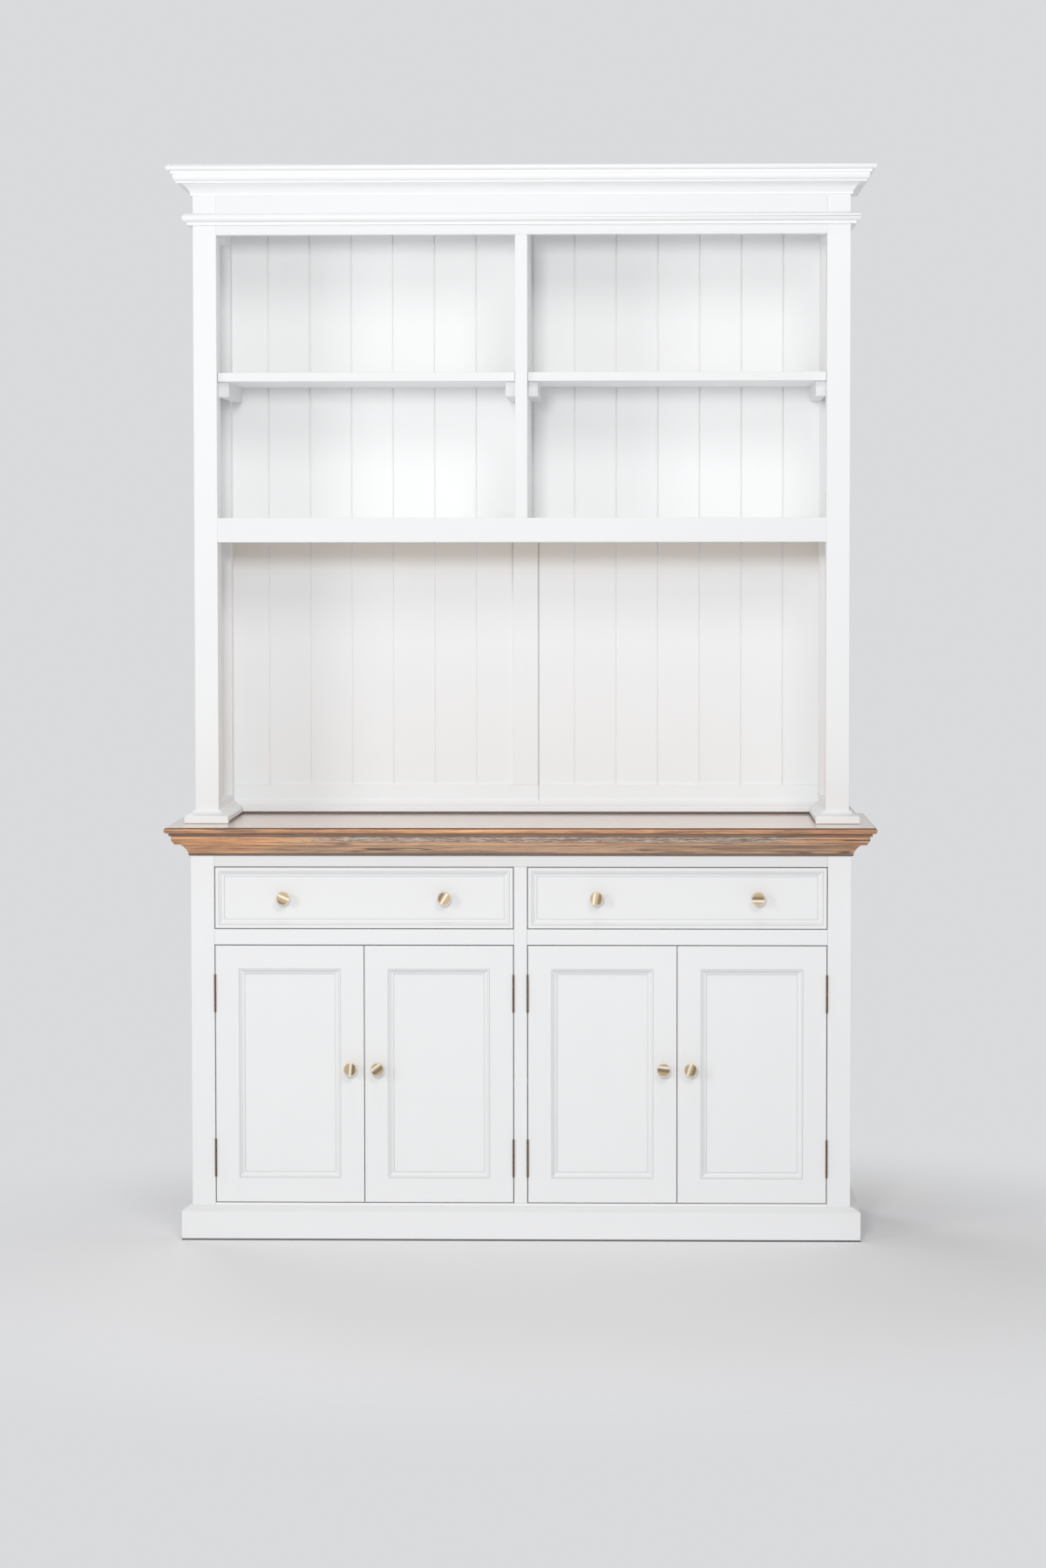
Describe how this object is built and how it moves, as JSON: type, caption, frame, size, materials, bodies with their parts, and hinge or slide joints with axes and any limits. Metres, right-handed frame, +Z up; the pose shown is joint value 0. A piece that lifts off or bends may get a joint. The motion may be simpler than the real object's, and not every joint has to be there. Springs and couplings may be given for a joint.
{
  "type": "hutch",
  "caption": "Painted wooden hutch: panelled cupboard doors and drawers under a wooden counter, and open shelves above with a planked back and crown cornice.",
  "frame": {"origin": "on the floor, midway across the width and the depth of the whole hutch", "axes": "+X to the right seen from the front, +Y towards the wall behind, +Z up; doors and drawers face -Y"},
  "size_m": [1.45, 0.5, 2.2],
  "materials": {
    "white_paint": "satin white paint on wood",
    "counter_wood": "waxed brown wood with open grain",
    "plain_wood": "bare sanded wood",
    "back_sheet": "bare plywood",
    "knob_brass": "brushed satin",
    "antique_bronze": "dark antique",
    "catch_plastic": "matte"
  },
  "bodies": {
    "cabinet": {"plinth": "white_paint", "base_post_left": "white_paint", "base_post_right": "white_paint", "base_side_left": "white_paint", "base_side_right": "white_paint", "base_floor": "white_paint", "base_back_panel": "back_sheet", "base_top_rails": "white_paint", "base_middle_rails": "white_paint", "base_bottom_rails": "white_paint", "base_centre_stile": "white_paint", "base_partition": "white_paint", "cupboard_shelf_left": "white_paint", "cupboard_shelf_right": "white_paint", "shelf_cleats": "white_paint", "drawer_runners": "plain_wood", "hinge_frame_leaves": "antique_bronze", "door_catches": "catch_plastic", "counter_board": "counter_wood", "counter_moulding": "counter_wood", "hutch_post_left": "white_paint", "hutch_post_right": "white_paint", "hutch_side_left": "white_paint", "hutch_side_right": "white_paint", "hutch_frieze": "white_paint", "hutch_middle_rail": "white_paint", "hutch_fixed_shelf": "white_paint", "hutch_divider": "white_paint", "hutch_shelves": "white_paint", "hutch_back_planks": "white_paint", "hutch_back_frame": "white_paint", "hutch_top_board": "white_paint", "cornice_board": "white_paint", "cornice_moulding": "white_paint", "neck_moulding": "white_paint", "hutch_shoe": "white_paint"},
    "outer_left_door": {"outer_left_door_frame": "white_paint", "outer_left_door_panel": "white_paint", "outer_left_door_knob": "knob_brass", "outer_left_door_hardware": "antique_bronze"},
    "inner_left_door": {"inner_left_door_frame": "white_paint", "inner_left_door_panel": "white_paint", "inner_left_door_knob": "knob_brass", "inner_left_door_hardware": "antique_bronze"},
    "inner_right_door": {"inner_right_door_frame": "white_paint", "inner_right_door_panel": "white_paint", "inner_right_door_knob": "knob_brass", "inner_right_door_hardware": "antique_bronze"},
    "outer_right_door": {"outer_right_door_frame": "white_paint", "outer_right_door_panel": "white_paint", "outer_right_door_knob": "knob_brass", "outer_right_door_hardware": "antique_bronze"},
    "left_drawer": {"left_drawer_front": "white_paint", "left_drawer_box": "plain_wood", "left_drawer_bottom": "plain_wood", "left_drawer_knobs": "knob_brass"},
    "right_drawer": {"right_drawer_front": "white_paint", "right_drawer_box": "plain_wood", "right_drawer_bottom": "plain_wood", "right_drawer_knobs": "knob_brass"}
  },
  "joints": [
    {"name": "outer_left_door_hinge", "type": "hinge", "parent": "cabinet", "child": "outer_left_door", "pos_m": [-0.626, -0.2023, 0.341], "axis": [0, 0, -1], "range_deg": [0, 170]},
    {"name": "inner_left_door_hinge", "type": "hinge", "parent": "cabinet", "child": "inner_left_door", "pos_m": [-0.0145, -0.2023, 0.341], "axis": [0, 0, 1], "range_deg": [0, 85]},
    {"name": "inner_right_door_hinge", "type": "hinge", "parent": "cabinet", "child": "inner_right_door", "pos_m": [0.0145, -0.2023, 0.341], "axis": [0, 0, -1], "range_deg": [0, 85]},
    {"name": "outer_right_door_hinge", "type": "hinge", "parent": "cabinet", "child": "outer_right_door", "pos_m": [0.626, -0.2023, 0.341], "axis": [0, 0, 1], "range_deg": [0, 170]},
    {"name": "left_drawer_slide", "type": "slide", "parent": "cabinet", "child": "left_drawer", "axis": [0, -1, 0], "range_m": [0, 0.3]},
    {"name": "right_drawer_slide", "type": "slide", "parent": "cabinet", "child": "right_drawer", "axis": [0, -1, 0], "range_m": [0, 0.3]}
  ]
}
